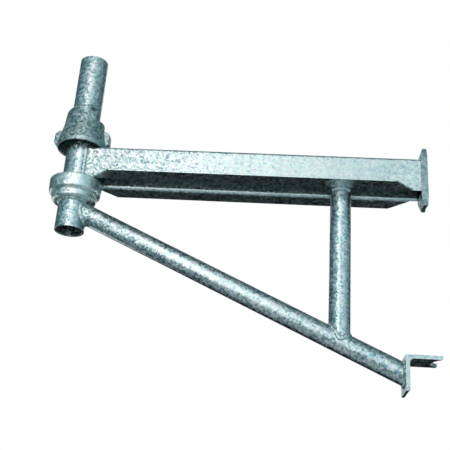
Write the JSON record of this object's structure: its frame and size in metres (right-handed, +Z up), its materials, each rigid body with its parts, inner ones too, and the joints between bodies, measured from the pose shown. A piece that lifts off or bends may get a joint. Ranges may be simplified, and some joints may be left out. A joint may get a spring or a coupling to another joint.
{
  "type": "scaffold side bracket",
  "caption": "Welded galvanised bracket that widens a cup-joint scaffold: a hat-section board beam, a post, a brace, an angle foot and an outer standard with a sliding locking cup.",
  "frame": {"origin": "on the axis of the outer standard, at half the height of the beam", "axes": "+X along the beam from the outer standard towards the scaffold standard, +Z up along the outer standard, +Y away from the viewer of the picture"},
  "size_m": [0.636, 0.102, 0.563],
  "materials": {
    "galvanised_steel": "hot-dip galvanised, satin",
    "galvanised_casting": "hot-dip galvanised casting, satin",
    "weld": "galvanised weld bead"
  },
  "bodies": {
    "frame": {"outer_standard": "galvanised_steel", "bottom_cup": "galvanised_steel", "locking_bar": "galvanised_steel", "hat_beam": "galvanised_steel", "end_blade": "galvanised_steel", "post": "galvanised_steel", "diagonal_brace": "galvanised_steel", "angle_foot": "galvanised_steel", "weld_cup_standard": "weld", "weld_brace_standard": "weld", "weld_post_brace": "weld", "weld_brace_foot": "weld", "weld_post_beam": "weld", "weld_blade_beam": "weld", "weld_beam_standard": "weld"},
    "top_cup": {"top_cup": "galvanised_casting"}
  },
  "joints": [
    {"name": "cup_lift", "type": "slide", "parent": "frame", "child": "top_cup", "axis": [0, 0, 1], "range_m": [0, 0.09]}
  ]
}
